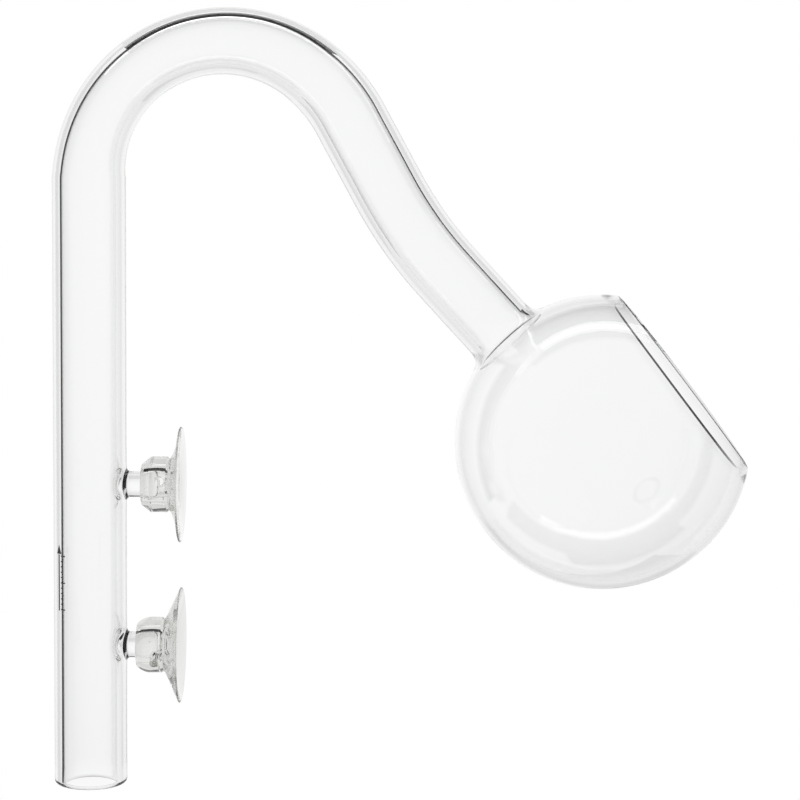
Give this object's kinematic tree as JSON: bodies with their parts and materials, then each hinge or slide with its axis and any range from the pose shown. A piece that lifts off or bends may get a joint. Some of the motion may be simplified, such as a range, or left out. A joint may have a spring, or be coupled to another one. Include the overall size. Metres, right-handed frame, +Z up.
{
  "type": "aquarium filter outflow pipe",
  "caption": "Clear glass return pipe that hooks over a tank's rim, with a blown bulb whose side mouth spreads the water and suction cups on glass pegs.",
  "frame": {"origin": "centre of the upper suction cup's rim, on the tank's outer face", "axes": "+X into the tank, +Z up along the stem, Y = 0 is the pipe's plane of symmetry"},
  "size_m": [0.1615, 0.0684, 0.1811],
  "materials": {
    "borosilicate_glass": "clear, fire-polished",
    "glass_rod": "clear solid rod",
    "clear_pvc": "soft, clear, glossy"
  },
  "bodies": {
    "glass": {"stem_tube": "borosilicate_glass", "crown_tube": "borosilicate_glass", "drop_tube": "borosilicate_glass", "outflow_bulb": "borosilicate_glass", "peg_upper": "glass_rod", "peg_lower": "glass_rod"},
    "upper_cup": {"suction_cup_upper": "clear_pvc"},
    "lower_cup": {"suction_cup_lower": "clear_pvc"}
  },
  "joints": [
    {"name": "upper_cup_slide", "type": "slide", "parent": "glass", "child": "upper_cup", "axis": [1, 0, 0], "range_m": [-0.002, 0.012]},
    {"name": "lower_cup_slide", "type": "slide", "parent": "glass", "child": "lower_cup", "axis": [1, 0, 0], "range_m": [-0.0006, 0.012]}
  ]
}
